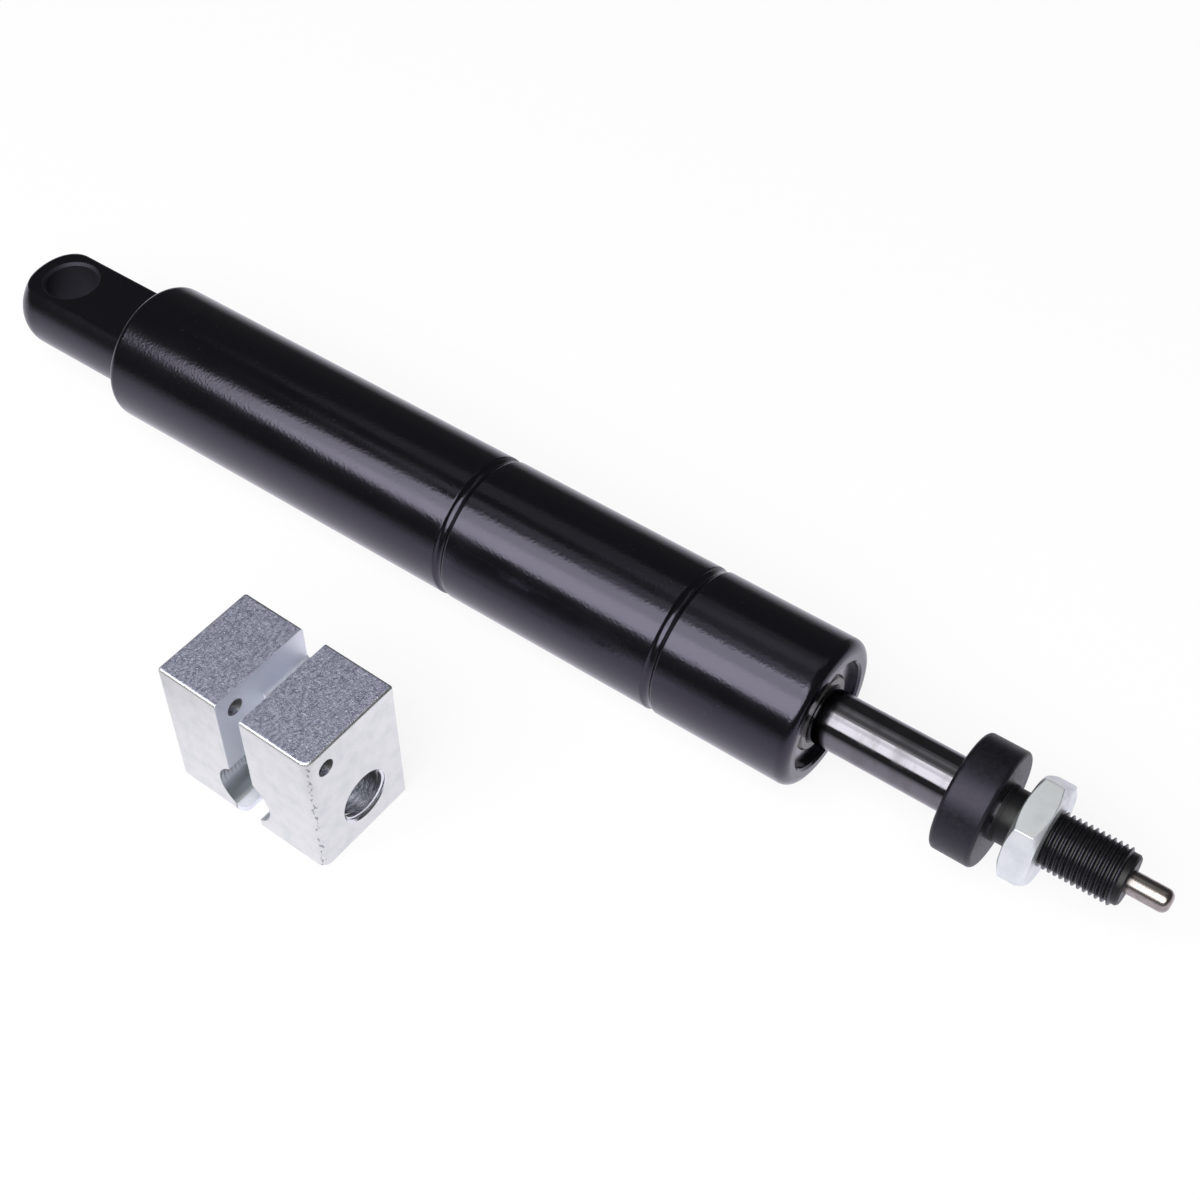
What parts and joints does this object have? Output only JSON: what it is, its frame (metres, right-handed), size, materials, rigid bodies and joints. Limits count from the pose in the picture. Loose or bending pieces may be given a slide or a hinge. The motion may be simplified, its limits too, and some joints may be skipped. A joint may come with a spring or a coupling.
{
  "type": "lockable gas spring",
  "caption": "Lockable gas spring with a fixed eye, a hollow threaded rod with a release pin, a bump collar, a jam nut and a separate slotted release head.",
  "frame": {"origin": "centre of the fixed eye's bore, on the spring's axis", "axes": "+X from the eye along the spring to the rod's threaded end; +Z along the eye's bore, up from the floor"},
  "size_m": [0.2428, 0.0784, 0.028],
  "materials": {
    "tube_paint": "gloss black",
    "eye_paint": "gloss black",
    "rod_chrome": "dark polished",
    "collar_rubber": "matte",
    "nut_zinc": "bright zinc",
    "pin_nickel": "bright nickel",
    "head_zinc": "satin zinc",
    "cap_zinc": "satin",
    "wiper_polymer": "matte",
    "piston_aluminium": "turned",
    "valve_brass": "turned",
    "tappet_steel": "turned",
    "seal_rubber": "matte",
    "ring_polymer": "matte",
    "guide_polymer": "matte"
  },
  "bodies": {
    "cylinder": {"pressure_tube": "tube_paint", "end_eye": "eye_paint", "end_plug_oring": "seal_rubber", "support_ring": "cap_zinc", "rod_lip_seal": "seal_rubber", "seal_backup_washer": "cap_zinc", "rod_guide": "guide_polymer", "guide_oring": "seal_rubber", "guide_cap": "cap_zinc", "rod_wiper": "wiper_polymer", "release_head": "head_zinc"},
    "separator": {"separating_piston": "piston_aluminium", "separator_oring_gas": "seal_rubber", "separator_oring_oil": "seal_rubber"},
    "sliding_ring": {"piston_seal_ring": "ring_polymer"},
    "rod": {"piston_rod": "rod_chrome", "stem_oring": "seal_rubber", "bump_collar": "collar_rubber", "piston_body": "piston_aluminium", "piston_oring": "seal_rubber", "valve_seat": "valve_brass", "piston_end_cap": "piston_aluminium"},
    "release": {"release_pin": "pin_nickel", "valve_tappet": "tappet_steel", "tappet_oring": "seal_rubber"},
    "nut": {"jam_nut": "nut_zinc"}
  },
  "joints": [
    {"name": "rod_slide", "type": "slide", "parent": "cylinder", "child": "sliding_ring", "axis": [1, 0, 0], "range_m": [-0.02, 0]},
    {"name": "rod_spin", "type": "hinge", "parent": "sliding_ring", "child": "rod", "pos_m": [0, 0, 0], "axis": [1, 0, 0], "continuous": true},
    {"name": "separator_slide", "type": "slide", "parent": "cylinder", "child": "separator", "axis": [1, 0, 0], "range_m": [-0.0036, 0]},
    {"name": "release_slide", "type": "slide", "parent": "rod", "child": "release", "axis": [1, 0, 0], "range_m": [-0.0025, 0], "stiffness_N_per_m": 4000, "springref_m": 0.0015},
    {"name": "nut_turn", "type": "hinge", "parent": "rod", "child": "nut", "pos_m": [0.21125, 0, 0], "axis": [1, 0, 0], "continuous": true}
  ],
  "couplings": [
    {"joint": "separator_slide", "follows": "rod_slide", "ratio": 0.17361}
  ]
}
